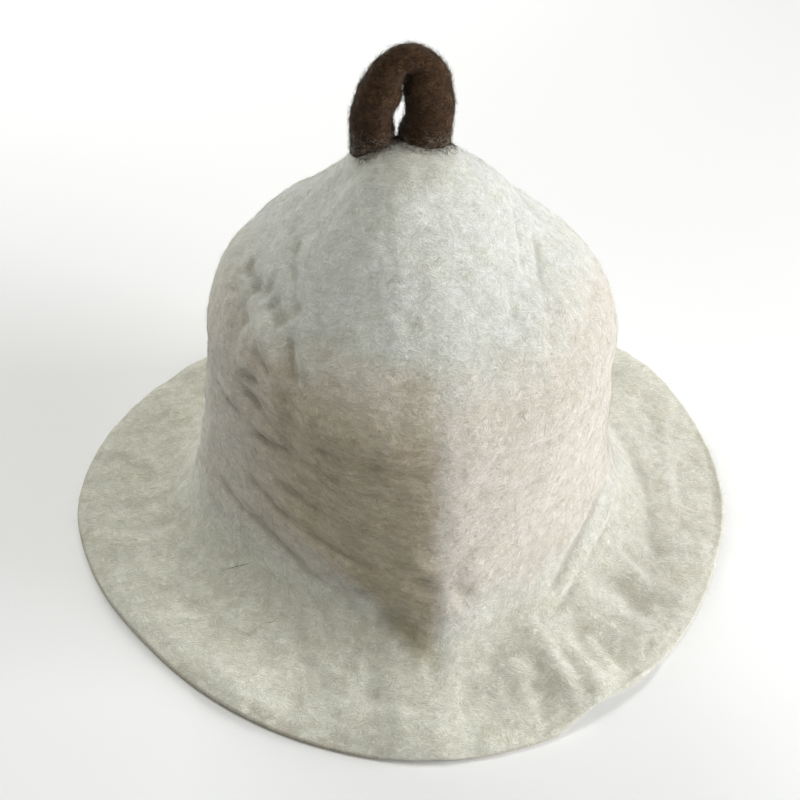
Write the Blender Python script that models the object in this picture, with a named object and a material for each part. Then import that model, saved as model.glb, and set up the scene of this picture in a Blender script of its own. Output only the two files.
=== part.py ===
"""Felt sauna hat: a hollow body with crown and brim felted in one piece, and a thick
hanging loop on top. Metres, +Z up. The hat stands on its brim on the plane z = 0, its
front looks along -Y, and the origin is under the middle of its box.

Azimuths are degrees round the hat: 0 at the front (-Y), 90 at +X, 180 at the back and
-90 at -X.
"""

import math
from collections import namedtuple

import bpy
import numpy as np
from mathutils import Vector
from mathutils.bvhtree import BVHTree

FELT_WALL = 0.003
SEAT_GAP = 0.0004
PRESSED_FLAT = 0.0012
APEX_HEIGHT = 0.2075
APEX_SETBACK = 0.012

# The outer face of the crown, ring by ring from the wall's foot to just below the apex.
# setback is how far the ring's middle lies behind the hat's axis. front, right, back and
# left are its reach from that middle, crease is how far the fold line at the front stands
# out of it, and pressed is how far the wall between that line and the left side sinks in.
Ring = namedtuple("Ring", "height setback front right back left crease pressed")
CROWN_RINGS = (
    Ring(0.036, 0.0000, 0.0890, 0.0985, 0.0980, 0.0985, 0.0115, 0.0125),
    Ring(0.055, 0.0000, 0.0880, 0.0970, 0.0965, 0.0955, 0.0110, 0.0115),
    Ring(0.080, 0.0000, 0.0880, 0.0970, 0.0960, 0.0920, 0.0100, 0.0105),
    Ring(0.105, 0.0000, 0.0890, 0.0960, 0.0955, 0.0897, 0.0085, 0.0095),
    Ring(0.128, 0.0015, 0.0900, 0.0965, 0.0930, 0.0885, 0.0065, 0.0080),
    Ring(0.147, 0.0060, 0.0850, 0.0835, 0.0800, 0.0795, 0.0045, 0.0060),
    Ring(0.163, 0.0100, 0.0725, 0.0628, 0.0620, 0.0605, 0.0035, 0.0040),
    Ring(0.175, 0.0130, 0.0620, 0.0530, 0.0480, 0.0435, 0.0025, 0.0025),
    Ring(0.187, 0.0155, 0.0500, 0.0425, 0.0310, 0.0305, 0.0015, 0.0015),
    Ring(0.197, 0.0170, 0.0375, 0.0290, 0.0165, 0.0225, 0.0010, 0.0005),
    Ring(0.204, 0.0130, 0.0215, 0.0190, 0.0105, 0.0150, 0.0000, 0.0000),
)
CREASE_AZIMUTH = 12.0
CREASE_SPREAD = 18.0
CREASE_ROUNDING = 6.0
BACK_CREASE_SHARE = 0.6
PRESSED_AZIMUTH = -48.0
PRESSED_SPREAD = 52.0

# How the brim falls away from the wall's foot: share of the way out to the edge, and
# share of the foot's height over the edge that is left there.
BrimStep = namedtuple("BrimStep", "out left_over")
BRIM_STEPS = (
    BrimStep(0.07, 0.53),
    BrimStep(0.22, 0.22),
    BrimStep(0.45, 0.07),
    BrimStep(0.70, 0.055),
    BrimStep(0.88, 0.05),
    BrimStep(0.96, 0.02),
    BrimStep(1.00, 0.00),
)

# The brim's edge on its upper face: reach from the axis and height, by azimuth. Where
# the height is the wall's own, the edge lies flat on the ground.
EdgePoint = namedtuple("EdgePoint", "azimuth reach height")
BRIM_EDGE = (
    EdgePoint(-180, 0.156, 0.003),
    EdgePoint(-160, 0.155, 0.003),
    EdgePoint(-135, 0.157, 0.0055),
    EdgePoint(-112, 0.161, 0.004),
    EdgePoint(-92, 0.160, 0.003),
    EdgePoint(-75, 0.153, 0.003),
    EdgePoint(-55, 0.146, 0.003),
    EdgePoint(-35, 0.146, 0.003),
    EdgePoint(-15, 0.150, 0.003),
    EdgePoint(5, 0.1560, 0.003),
    EdgePoint(21, 0.1560, 0.003),
    EdgePoint(37, 0.154, 0.009),
    EdgePoint(53, 0.153, 0.004),
    EdgePoint(75, 0.154, 0.003),
    EdgePoint(95, 0.160, 0.003),
    EdgePoint(120, 0.164, 0.009),
    EdgePoint(142, 0.166, 0.009),
    EdgePoint(163, 0.159, 0.003),
)

# Dents in the crown: where they are, how far they reach along the wall and up it, and
# how deep they go. A negative depth is a bulge.
Dent = namedtuple("Dent", "azimuth height wide tall depth")
DENTS = (
    Dent(54, 0.032, 0.045, 0.030, 0.002),
    Dent(-64, 0.135, 0.012, 0.012, 0.003),
    Dent(-52, 0.118, 0.010, 0.016, 0.0025),
    Dent(-36, 0.130, 0.007, 0.026, 0.0025),
    Dent(-47, 0.146, 0.016, 0.012, -0.002),
)

# Folds of the brim that run outwards: azimuth, width, rise, and the shares of the way
# out between which they run. A negative rise is a furrow.
Fold = namedtuple("Fold", "azimuth wide rise start end")
FOLDS = (
    Fold(24, 0.012, -0.0030, 0.35, 1.15),
    Fold(34, 0.009, 0.0035, 0.15, 1.15),
    Fold(44, 0.009, -0.0025, 0.20, 1.00),
    Fold(52, 0.010, 0.0030, 0.05, 0.80),
    Fold(98, 0.050, 0.0060, -0.10, 0.55),
    Fold(96, 0.045, -0.0020, 0.50, 0.95),
    Fold(-8, 0.020, -0.0030, -0.10, 0.40),
    Fold(6, 0.034, 0.0040, 0.05, 1.05),
)

# The loop's centre line from foot to foot, and the thickness of its rope. Its left leg
# stands a little ahead of the right one.
LoopPoint = namedtuple("LoopPoint", "across setback height thickness")
LOOP_LINE = (
    LoopPoint(-0.0129, 0.0192, 0.2085, 0.0192),
    LoopPoint(-0.0129, 0.0186, 0.2150, 0.0186),
    LoopPoint(-0.0125, 0.0180, 0.2235, 0.0174),
    LoopPoint(-0.0098, 0.0176, 0.2310, 0.0186),
    LoopPoint(-0.0080, 0.0181, 0.2375, 0.0156),
    LoopPoint(-0.0030, 0.0192, 0.2443, 0.0134),
    LoopPoint(0.0024, 0.0205, 0.2463, 0.0128),
    LoopPoint(0.0080, 0.0218, 0.2438, 0.0136),
    LoopPoint(0.0107, 0.0226, 0.2374, 0.0178),
    LoopPoint(0.0110, 0.0228, 0.2305, 0.0212),
    LoopPoint(0.0120, 0.0224, 0.2235, 0.0212),
    LoopPoint(0.0113, 0.0219, 0.2150, 0.0216),
    LoopPoint(0.0100, 0.0214, 0.2085, 0.0234),
)
FOOT_FLARE = 1.02
FOOT_SHARES = (0.20, 0.40, 0.60, 0.80, 1.00)

# Mesh density: columns round the hat, rows between the rings of its two faces, and
# sides and stations of the loop's rope.
COLUMNS = 84
OUTER_ROWS = 34
INNER_ROWS = 24
RIM_BULGE = 0.4
LOOP_SIDES = 16
LOOP_STATIONS = 32

FELT_WHITE = (0.72, 0.70, 0.62, 1.0)
FELT_BROWN = (0.045, 0.024, 0.015, 1.0)

FIRST_BRIM_KNOT = len(CROWN_RINGS) + 1
LAST_KNOT = len(CROWN_RINGS) + len(BRIM_STEPS)


def through(values, at):
    """Values of a smooth curve through the rows of an array, at places counted in rows."""
    values = np.asarray(values, float)
    ahead, behind = 2 * values[:1] - values[1:2], 2 * values[-1:] - values[-2:-1]
    padded = np.concatenate([ahead, values, behind])
    row = np.clip(np.floor(at).astype(int), 0, len(values) - 2)
    share = (np.asarray(at) - row).reshape((-1,) + (1,) * (values.ndim - 1))
    before, start, end, after = (padded[row + i] for i in range(4))
    slope_in, slope_out = (end - before) / 2, (after - start) / 2
    return (
        (2 * share**3 - 3 * share**2 + 1) * start
        + (share**3 - 2 * share**2 + share) * slope_in
        + (3 * share**2 - 2 * share**3) * end
        + (share**3 - share**2) * slope_out
    )


def turned(azimuth, centre):
    """Degrees from centre to azimuth, between -180 and 180."""
    return (azimuth - centre + 180) % 360 - 180


def edge_column(column, azimuths):
    """A column of the brim edge's table as a smooth closed curve, read at azimuths."""
    places = np.array([row.azimuth for row in BRIM_EDGE], float)
    values = np.array([getattr(row, column) for row in BRIM_EDGE])
    places = np.concatenate([places - 360, places, places + 360])
    at = np.interp(turned(azimuths, 0), places, np.arange(len(places)))
    return through(np.tile(values, 3), at)


def crease_share(azimuths):
    """1 on the front fold line, less on the back one, falling away to the sides."""
    total = np.zeros_like(azimuths)
    for centre, share in ((CREASE_AZIMUTH, 1.0), (CREASE_AZIMUTH + 180, BACK_CREASE_SHARE)):
        off = turned(azimuths, centre)
        rounded = np.sqrt(off**2 + CREASE_ROUNDING**2) - CREASE_ROUNDING
        total += share * np.exp(-rounded / CREASE_SPREAD)
    return total


def ring_reach(ring, azimuths):
    """A crown ring's reach from its middle at each azimuth."""
    ahead, side = np.cos(np.radians(azimuths)), np.sin(np.radians(azimuths))
    lengthwise = np.where(ahead > 0, ring.front, ring.back)
    sideways = np.where(side > 0, ring.right, ring.left)
    aside = np.clip(np.abs(turned(azimuths, PRESSED_AZIMUTH)) / PRESSED_SPREAD, 0, 1)
    pressed = ring.pressed * np.cos(aside * math.pi / 2) ** 2
    standing = ring.crease * crease_share(azimuths)
    return lengthwise * ahead**2 + sideways * side**2 + standing - pressed


def ring_points(azimuths, reach, setback, height):
    """Points at a reach along each azimuth from a middle set back from the axis."""
    angle = np.radians(azimuths)
    return np.column_stack(
        [reach * np.sin(angle), setback - reach * np.cos(angle), 0 * angle + height]
    )


def knot_curves(azimuths):
    """The outer face's guiding rings, from the apex down to the brim's edge."""
    curves = [ring_points(azimuths, 0, APEX_SETBACK, APEX_HEIGHT)]
    for ring in reversed(CROWN_RINGS):
        reach = ring_reach(ring, azimuths)
        curves.append(ring_points(azimuths, reach, ring.setback, ring.height))
    foot = curves[-1]
    edge_height = edge_column("height", azimuths)
    edge = ring_points(azimuths, edge_column("reach", azimuths), 0, edge_height)
    for step in BRIM_STEPS:
        curve = foot + (edge - foot) * step.out
        curve[:, 2] = edge_height + (foot[:, 2] - edge_height) * step.left_over
        curves.append(curve)
    return np.array(curves)


def smooth_face(rows, azimuths):
    """The outer face without its dents, as an array of points by row and azimuth."""
    curves = knot_curves(azimuths)
    # The curve is carried on over the apex, so that the top is round and not pointed.
    beyond = 2 * curves[0] - curves[1]
    beyond[:, 2] = curves[1][:, 2]
    return through(np.concatenate([beyond[None], curves]), rows + 1)


def outward(points):
    """Unit normals of a face given as rows by columns, pointing out of the hat."""
    down = np.gradient(points, axis=0)
    along = (np.roll(points, -1, axis=1) - np.roll(points, 1, axis=1)) / 2
    normals = np.cross(down, along)
    length = np.linalg.norm(normals, axis=-1, keepdims=True)
    return normals / np.maximum(length, 1e-12)


def relief(points, rows, azimuths):
    """How far dents and folds push each point of the outer face outwards."""
    reach = np.hypot(points[..., 0], points[..., 1])
    height = points[..., 2]
    out = ((rows - FIRST_BRIM_KNOT + 1) / len(BRIM_STEPS))[:, None]
    total = np.zeros(reach.shape)
    for dent in DENTS:
        aside = np.radians(turned(azimuths, dent.azimuth)) * reach / dent.wide
        up = (height - dent.height) / dent.tall
        total -= dent.depth * np.exp(-(aside**2) - up**2)
    for fold in FOLDS:
        aside = np.radians(turned(azimuths, fold.azimuth)) * reach / fold.wide
        along = np.clip((out - fold.start) / (fold.end - fold.start), 0, 1)
        total += fold.rise * np.exp(-(aside**2)) * np.sin(math.pi * along)
    return total


def felt_faces(columns, outer_rows, inner_rows):
    """Outer and inner face of the felt, each as rows by columns from apex to edge."""
    azimuths = CREASE_AZIMUTH + np.arange(columns) * 360 / columns
    faces = []
    for count in (outer_rows, inner_rows):
        rows = np.linspace(0, LAST_KNOT, count + 1)[1:]
        points = smooth_face(rows, azimuths)
        points = points + outward(points) * relief(points, rows, azimuths)[..., None]
        faces.append(points)
    outer, inner = faces
    inner = inner - outward(inner) * FELT_WALL
    inner[..., 2] = np.where(inner[..., 2] < PRESSED_FLAT, 0, inner[..., 2])
    return outer, inner


def closed_wall(outer, inner):
    """Vertices and faces of the outer face, rounded rim and inner face in one wall."""
    rim = (outer[-1] + inner[-1]) / 2
    level = rim[:, :2] / np.linalg.norm(rim[:, :2], axis=1, keepdims=True)
    rim[:, :2] += level * FELT_WALL * RIM_BULGE
    rings = [*outer, rim, *inner[::-1]]
    columns = len(rim)
    apex = (0, APEX_SETBACK, APEX_HEIGHT)
    inner_apex = (0, APEX_SETBACK, APEX_HEIGHT - FELT_WALL)
    vertices = [apex, *np.concatenate(rings), inner_apex]
    end = 1 + (len(rings) - 1) * columns
    faces = []
    for column in range(columns):
        beside = (column + 1) % columns
        faces.append((0, 1 + column, 1 + beside))
        for top in range(1, end, columns):
            bottom = top + columns
            faces.append((top + column, bottom + column, bottom + beside, top + beside))
        faces.append((end + column, len(vertices) - 1, end + beside))
    return vertices, faces


def rope_rings(stations, sides):
    """Rings of the loop's rope, from one foot over the top to the other."""
    line = np.array([(p.across, p.setback, p.height, p.thickness / 2) for p in LOOP_LINE])
    line = through(line, np.linspace(0, len(line) - 1, stations))
    path, radius = line[:, :3], line[:, 3]
    forward = np.gradient(path, axis=0)
    forward /= np.linalg.norm(forward, axis=1, keepdims=True)
    depth = np.array([0.0, 1.0, 0.0])
    sideways = np.cross(depth, forward)
    angle = np.arange(sides) * 2 * math.pi / sides
    ring = np.cos(angle)[:, None] * depth + np.sin(angle)[:, None] * sideways[:, None]
    return path[:, None] + radius[:, None, None] * ring


def landed(point, ground):
    """The point straight below on the felt, a seat's gap above it."""
    hit = ground.ray_cast(Vector(point), Vector((0, 0, -1)))[0]
    return (hit.x, hit.y, hit.z + SEAT_GAP)


def foot_rings(ring, ground):
    """The rings of a foot on the felt, from its middle point out to its outline."""
    middle = ring.mean(axis=0)
    spokes = (ring - middle) * (FOOT_FLARE, FOOT_FLARE, 1)
    rings = [[landed(p, ground) for p in middle + spokes * share] for share in FOOT_SHARES]
    return landed(middle, ground), rings


def loop_shape(ground, stations, sides):
    """Vertices and faces of the loop, its feet following the face of the felt."""
    rings = rope_rings(stations, sides)
    start_point, start = foot_rings(rings[0], ground)
    end_point, end = foot_rings(rings[-1], ground)
    rings = [*start, *rings, *end[::-1]]
    vertices = [start_point, *np.concatenate(rings), end_point]
    last = 1 + (len(rings) - 1) * sides
    faces = []
    for side in range(sides):
        beside = (side + 1) % sides
        faces.append((0, 1 + side, 1 + beside))
        for low in range(1, last, sides):
            high = low + sides
            faces.append((low + side, high + side, high + beside, low + beside))
        faces.append((last + side, len(vertices) - 1, last + beside))
    return vertices, faces


def felt_material(name, colour):
    material = bpy.data.materials.new(name)
    material.use_nodes = True
    surface = material.node_tree.nodes["Principled BSDF"]
    surface.inputs["Base Color"].default_value = colour
    surface.inputs["Roughness"].default_value = 0.95
    surface.inputs["Metallic"].default_value = 0.0
    return material


def solid(name, shape, material):
    vertices, faces = shape
    mesh = bpy.data.meshes.new(name)
    mesh.from_pydata([tuple(map(float, v)) for v in vertices], [], faces)
    mesh.shade_smooth()
    mesh.materials.append(material)
    obj = bpy.data.objects.new(name, mesh)
    bpy.context.collection.objects.link(obj)
    return obj


def centred(objects):
    """Move all pieces level so that their common box is centred on the origin."""
    corners = np.array([v.co for obj in objects for v in obj.data.vertices])
    middle = (corners.min(axis=0) + corners.max(axis=0)) / 2
    for obj in objects:
        for vertex in obj.data.vertices:
            vertex.co.x -= middle[0]
            vertex.co.y -= middle[1]


def main():
    for obj in list(bpy.data.objects):
        bpy.data.objects.remove(obj)
    outer, inner = felt_faces(COLUMNS, OUTER_ROWS, INNER_ROWS)
    wall = closed_wall(outer, inner)
    ground = BVHTree.FromPolygons([tuple(v) for v in wall[0]], wall[1])
    body = solid("felt_body", wall, felt_material("white_felt", FELT_WHITE))
    rope = loop_shape(ground, LOOP_STATIONS, LOOP_SIDES)
    loop = solid("hanging_loop", rope, felt_material("brown_felt", FELT_BROWN))
    centred([body, loop])


main()
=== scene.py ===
import math
from collections import namedtuple

import bpy
import numpy as np
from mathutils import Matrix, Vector, noise
from mathutils.bvhtree import BVHTree


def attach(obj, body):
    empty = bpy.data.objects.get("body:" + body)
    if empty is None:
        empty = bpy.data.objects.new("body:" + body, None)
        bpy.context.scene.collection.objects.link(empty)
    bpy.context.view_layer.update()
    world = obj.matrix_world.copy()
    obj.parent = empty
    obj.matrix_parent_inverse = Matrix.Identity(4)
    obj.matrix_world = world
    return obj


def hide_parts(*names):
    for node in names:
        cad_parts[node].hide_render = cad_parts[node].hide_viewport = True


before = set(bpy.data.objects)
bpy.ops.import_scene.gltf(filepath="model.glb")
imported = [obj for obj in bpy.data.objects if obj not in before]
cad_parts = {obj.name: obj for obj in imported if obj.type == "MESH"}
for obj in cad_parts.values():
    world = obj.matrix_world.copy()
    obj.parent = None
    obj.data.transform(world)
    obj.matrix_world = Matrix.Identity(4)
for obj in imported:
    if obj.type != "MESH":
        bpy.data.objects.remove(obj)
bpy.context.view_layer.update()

# Sizes in metres, azimuths in degrees round the hat: 0 at the front (-Y), 90 at +X,
# 180 at the back and -90 at -X. "down" is the distance along the felt from the apex.

# The felt's shape, as it is in the solid part

FELT_WALL = 0.003
PRESSED_FLAT = 0.0012
APEX_HEIGHT = 0.2075
APEX_SETBACK = 0.012

Ring = namedtuple("Ring", "height setback front right back left crease pressed")
CROWN_RINGS = (
    Ring(0.036, 0.0000, 0.0890, 0.0985, 0.0980, 0.0985, 0.0115, 0.0125),
    Ring(0.055, 0.0000, 0.0880, 0.0970, 0.0965, 0.0955, 0.0110, 0.0115),
    Ring(0.080, 0.0000, 0.0880, 0.0970, 0.0960, 0.0920, 0.0100, 0.0105),
    Ring(0.105, 0.0000, 0.0890, 0.0960, 0.0955, 0.0897, 0.0085, 0.0095),
    Ring(0.128, 0.0015, 0.0900, 0.0965, 0.0930, 0.0885, 0.0065, 0.0080),
    Ring(0.147, 0.0060, 0.0850, 0.0835, 0.0800, 0.0795, 0.0045, 0.0060),
    Ring(0.163, 0.0100, 0.0725, 0.0628, 0.0620, 0.0605, 0.0035, 0.0040),
    Ring(0.175, 0.0130, 0.0620, 0.0530, 0.0480, 0.0435, 0.0025, 0.0025),
    Ring(0.187, 0.0155, 0.0500, 0.0425, 0.0310, 0.0305, 0.0015, 0.0015),
    Ring(0.197, 0.0170, 0.0375, 0.0290, 0.0165, 0.0225, 0.0010, 0.0005),
    Ring(0.204, 0.0130, 0.0215, 0.0190, 0.0105, 0.0150, 0.0000, 0.0000),
)
CREASE_AZIMUTH = 12.0
CREASE_SPREAD = 18.0
CREASE_ROUNDING = 6.0
BACK_CREASE_SHARE = 0.6
PRESSED_AZIMUTH = -48.0
PRESSED_SPREAD = 52.0

BrimStep = namedtuple("BrimStep", "out left_over")
BRIM_STEPS = (
    BrimStep(0.07, 0.53),
    BrimStep(0.22, 0.22),
    BrimStep(0.45, 0.07),
    BrimStep(0.70, 0.055),
    BrimStep(0.88, 0.05),
    BrimStep(0.96, 0.02),
    BrimStep(1.00, 0.00),
)

EdgePoint = namedtuple("EdgePoint", "azimuth reach height")
BRIM_EDGE = (
    EdgePoint(-180, 0.156, 0.003),
    EdgePoint(-160, 0.155, 0.003),
    EdgePoint(-135, 0.157, 0.0055),
    EdgePoint(-112, 0.161, 0.004),
    EdgePoint(-92, 0.160, 0.003),
    EdgePoint(-75, 0.153, 0.003),
    EdgePoint(-55, 0.146, 0.003),
    EdgePoint(-35, 0.146, 0.003),
    EdgePoint(-15, 0.150, 0.003),
    EdgePoint(5, 0.1560, 0.003),
    EdgePoint(21, 0.1560, 0.003),
    EdgePoint(37, 0.154, 0.009),
    EdgePoint(53, 0.153, 0.004),
    EdgePoint(75, 0.154, 0.003),
    EdgePoint(95, 0.160, 0.003),
    EdgePoint(120, 0.164, 0.009),
    EdgePoint(142, 0.166, 0.009),
    EdgePoint(163, 0.159, 0.003),
)

Dent = namedtuple("Dent", "azimuth height wide tall depth")
DENTS = (
    Dent(54, 0.032, 0.045, 0.030, 0.002),
    Dent(-64, 0.135, 0.012, 0.012, 0.003),
    Dent(-52, 0.118, 0.010, 0.016, 0.0025),
    Dent(-36, 0.130, 0.007, 0.026, 0.0025),
    Dent(-47, 0.146, 0.016, 0.012, -0.002),
)

Fold = namedtuple("Fold", "azimuth wide rise start end")
FOLDS = (
    Fold(24, 0.012, -0.0030, 0.35, 1.15),
    Fold(34, 0.009, 0.0035, 0.15, 1.15),
    Fold(44, 0.009, -0.0025, 0.20, 1.00),
    Fold(52, 0.010, 0.0030, 0.05, 0.80),
    Fold(98, 0.050, 0.0060, -0.10, 0.55),
    Fold(96, 0.045, -0.0020, 0.50, 0.95),
    Fold(-8, 0.020, -0.0030, -0.10, 0.40),
    Fold(6, 0.034, 0.0040, 0.05, 1.05),
)

LoopPoint = namedtuple("LoopPoint", "across setback height thickness")
LOOP_LINE = (
    LoopPoint(-0.0129, 0.0192, 0.2085, 0.0192),
    LoopPoint(-0.0129, 0.0186, 0.2150, 0.0186),
    LoopPoint(-0.0125, 0.0180, 0.2235, 0.0174),
    LoopPoint(-0.0098, 0.0176, 0.2310, 0.0186),
    LoopPoint(-0.0080, 0.0181, 0.2375, 0.0156),
    LoopPoint(-0.0030, 0.0192, 0.2443, 0.0134),
    LoopPoint(0.0024, 0.0205, 0.2463, 0.0128),
    LoopPoint(0.0080, 0.0218, 0.2438, 0.0136),
    LoopPoint(0.0107, 0.0226, 0.2374, 0.0178),
    LoopPoint(0.0110, 0.0228, 0.2305, 0.0212),
    LoopPoint(0.0120, 0.0224, 0.2235, 0.0212),
    LoopPoint(0.0113, 0.0219, 0.2150, 0.0216),
    LoopPoint(0.0100, 0.0214, 0.2085, 0.0234),
)
FOOT_FLARE = 1.02
FOOT_SHARES = (0.20, 0.40, 0.60, 0.80, 1.00)
SEAT_GAP = 0.0004
ABOVE_HAT = 0.01
RIM_BULGE = 0.4
SLIT_ACROSS = 0.001
PINCH = 0.0010
PINCH_HEIGHT = 0.2370
PINCH_TALL = 0.0060
FILLET_RISE = 0.0022
FILLET_SPREAD = 0.0028

# Small creases and bumps of the felt: a line from one place to another, how far its
# middle bows outwards along the felt, its width, and how far it stands up or, where
# negative, sinks in.
Crease = namedtuple("Crease", "azimuth down to_azimuth to_down bow width rise")
CREASES = (
    # dents and bumps on the left of the dome
    Crease(-84, 0.092, -67, 0.091, 0.0, 0.0040, -0.0028),
    Crease(-69, 0.092, -64, 0.091, 0.0, 0.0049, -0.0016),
    Crease(-87, 0.097, -71, 0.096, 0.0, 0.0027, 0.0011),
    Crease(-79, 0.107, -70, 0.097, 0.0, 0.0027, 0.0013),
    Crease(-79, 0.102, -75, 0.100, 0.0, 0.0034, -0.0018),
    Crease(-70, 0.102, -64, 0.105, 0.0, 0.0047, -0.0026),
    Crease(-78, 0.109, -69, 0.112, 0.0, 0.0031, 0.0015),
    Crease(-52, 0.099, -49, 0.105, 0.0, 0.0045, 0.0025),
    Crease(-62, 0.108, -62, 0.115, 0.0, 0.0036, 0.0018),
    Crease(-57, 0.089, -45, 0.097, 0.0, 0.0049, -0.0026),
    Crease(-38, 0.091, -36, 0.094, 0.0, 0.0045, 0.0020),
    Crease(-33, 0.103, -31, 0.110, 0.0, 0.0040, 0.0021),
    Crease(-40, 0.100, -35, 0.113, 0.0, 0.0031, -0.0021),
    Crease(-46, 0.107, -38, 0.122, 0.0, 0.0036, 0.0020),
    Crease(-55, 0.111, -45, 0.119, 0.0, 0.0034, -0.0023),
    Crease(-62, 0.124, -54, 0.119, 0.0, 0.0038, 0.0020),
    Crease(-63, 0.131, -53, 0.126, 0.0, 0.0027, -0.0021),
    Crease(-60, 0.137, -55, 0.141, 0.0, 0.0040, -0.0018),
    Crease(-80, 0.147, -63, 0.147, 0.0, 0.0027, 0.0011),
    Crease(-88, 0.069, -44, 0.085, 0.0, 0.0040, 0.0013),
    Crease(-71, 0.061, -35, 0.093, 0.0, 0.0034, -0.0012),
    Crease(-60, 0.055, -32, 0.091, 0.0, 0.0025, 0.0008),
    Crease(-57, 0.159, -36, 0.156, 0.0, 0.0031, -0.0021),
    Crease(-66, 0.084, -54, 0.090, 0.0, 0.0050, -0.0018),
    # lines that sweep round the left wall towards the front fold
    Crease(-42, 0.110, -37, 0.137, 0.0, 0.0029, -0.0012),
    Crease(-38, 0.135, -20, 0.147, 0.002, 0.0029, -0.0012),
    Crease(-24, 0.144, 4, 0.149, 0.001, 0.0032, -0.0010),
    Crease(-62, 0.134, -38, 0.151, 0.002, 0.0030, -0.0012),
    Crease(-42, 0.150, -18, 0.160, 0.001, 0.0030, -0.0010),
    Crease(-80, 0.147, -56, 0.155, 0.001, 0.0030, -0.0010),
    Crease(-58, 0.154, -30, 0.169, 0.002, 0.0030, -0.0009),
    Crease(-66, 0.166, -34, 0.181, 0.002, 0.0028, -0.0008),
    Crease(-44, 0.176, -12, 0.187, 0.001, 0.0028, -0.0007),
    Crease(-60, 0.184, -32, 0.197, 0.002, 0.0032, -0.0013),
    Crease(-34, 0.196, -6, 0.208, 0.001, 0.0032, -0.0013),
    Crease(-76, 0.204, -50, 0.210, 0.001, 0.0034, -0.0013),
    Crease(-54, 0.209, -10, 0.227, 0.002, 0.0039, -0.0017),
    Crease(-34, 0.217, -14, 0.226, 0.001, 0.0030, 0.0012),
    Crease(-28, 0.206, -14, 0.212, 0.0, 0.0034, 0.0009),
    # pits and bumps at the foot of the front fold
    Crease(-8, 0.237, 5, 0.244, 0.0, 0.0070, -0.0030),
    Crease(4, 0.213, 8, 0.217, 0.0, 0.0045, -0.0016),
    Crease(13, 0.217, 17, 0.222, 0.0, 0.0040, -0.0016),
    Crease(12, 0.228, 18, 0.233, 0.0, 0.0060, 0.0012),
    Crease(3, 0.199, 5, 0.204, 0.0, 0.0050, 0.0016),
    Crease(19, 0.209, 22, 0.213, 0.0, 0.0050, 0.0016),
    # faint lines on the right of the crown
    Crease(48, 0.068, 40, 0.097, 0.0, 0.0028, -0.0008),
    Crease(84, 0.058, 55, 0.080, 0.001, 0.0028, -0.0010),
    Crease(84, 0.074, 64, 0.086, 0.0, 0.0028, -0.0012),
    Crease(66, 0.085, 46, 0.112, 0.0, 0.0028, -0.0010),
    Crease(84, 0.112, 60, 0.121, 0.001, 0.0035, -0.0009),
    Crease(62, 0.120, 24, 0.134, 0.001, 0.0040, -0.0005),
    Crease(30, 0.150, 70, 0.153, 0.001, 0.0030, -0.0006),
    Crease(22, 0.172, 62, 0.176, -0.001, 0.0030, -0.0006),
    Crease(28, 0.192, 74, 0.196, 0.001, 0.0030, -0.0006),
    # lines along the foot of the wall on the right
    Crease(76, 0.221, 44, 0.242, 0.002, 0.0030, -0.0018),
    Crease(86, 0.230, 54, 0.246, 0.002, 0.0026, 0.0012),
    Crease(72, 0.238, 40, 0.252, 0.001, 0.0026, -0.0012),
    # the swollen strip beside the wall, the channel outside it and the step in the brim
    Crease(120, 0.252, 92, 0.262, 0.002, 0.0055, -0.0016),
    Crease(94, 0.262, 72, 0.271, 0.001, 0.0050, -0.0014),
    Crease(118, 0.284, 94, 0.274, 0.0, 0.0050, 0.0010),
    Crease(69, 0.250, 66, 0.276, 0.0, 0.0040, 0.0014),
    Crease(67, 0.274, 65, 0.294, 0.0, 0.0040, 0.0012),
    Crease(62, 0.262, 58, 0.278, 0.0, 0.0060, -0.0015),
    Crease(52, 0.268, 53, 0.277, 0.0, 0.0050, -0.0012),
    Crease(51, 0.290, 49, 0.294, 0.0, 0.0030, -0.0008),
    # wrinkles that run out to the edge on the front right
    Crease(25, 0.262, 23, 0.304, 0.0, 0.0090, 0.0028),
    Crease(3, 0.255, 3, 0.304, 0.0, 0.0240, 0.0016),
    Crease(27, 0.258, 24, 0.304, 0.0, 0.0140, 0.0018),
    Crease(33, 0.262, 30, 0.304, 0.0, 0.0030, 0.0004),
    Crease(37, 0.262, 33, 0.300, 0.0, 0.0040, -0.0020),
    Crease(44, 0.270, 42, 0.287, 0.0, 0.0034, 0.0013),
    Crease(27, 0.274, 25, 0.300, 0.0, 0.0035, -0.0010),
    Crease(20, 0.270, 20, 0.298, 0.0, 0.0050, 0.0010),
    # shallow hollow in the middle of the front brim
    Crease(-8, 0.273, 8, 0.281, 0.0, 0.0060, -0.0014),
)

# A crease longer than this fades out, up to so many half lengths from its middle.
LONG_CREASE = 0.02
CREASE_END = 1.15
CREASE_FADE = 0.5

# What is sunk deeper than this shows on the inner face too.
DEEPEST_CREASE = 0.0010

# Uneven thickness: how large the lumps are, how far they stand out, and a seed.
Lumps = namedtuple("Lumps", "size rise seed")
FELT_LUMPS = (
    Lumps(0.035, 0.0009, 1),
    Lumps(0.012, 0.00040, 2),
    Lumps(0.0055, 0.00022, 3),
)
ROPE_LUMPS = (
    Lumps(0.009, 0.00045, 11),
    Lumps(0.0035, 0.00025, 12),
)
LUMP_GAIN = 1.6
SEED_SHIFT = 7.3

# Faint ripples of the brim, long from the crown to the edge and short round the hat
BRIM_RIPPLES = Lumps(0.20, 0.0005, 4)
RIPPLES_ROUND = 2.2
RIPPLES_DOWN = 6
BRIM_START = 0.24
BRIM_FADE = 0.02

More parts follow.
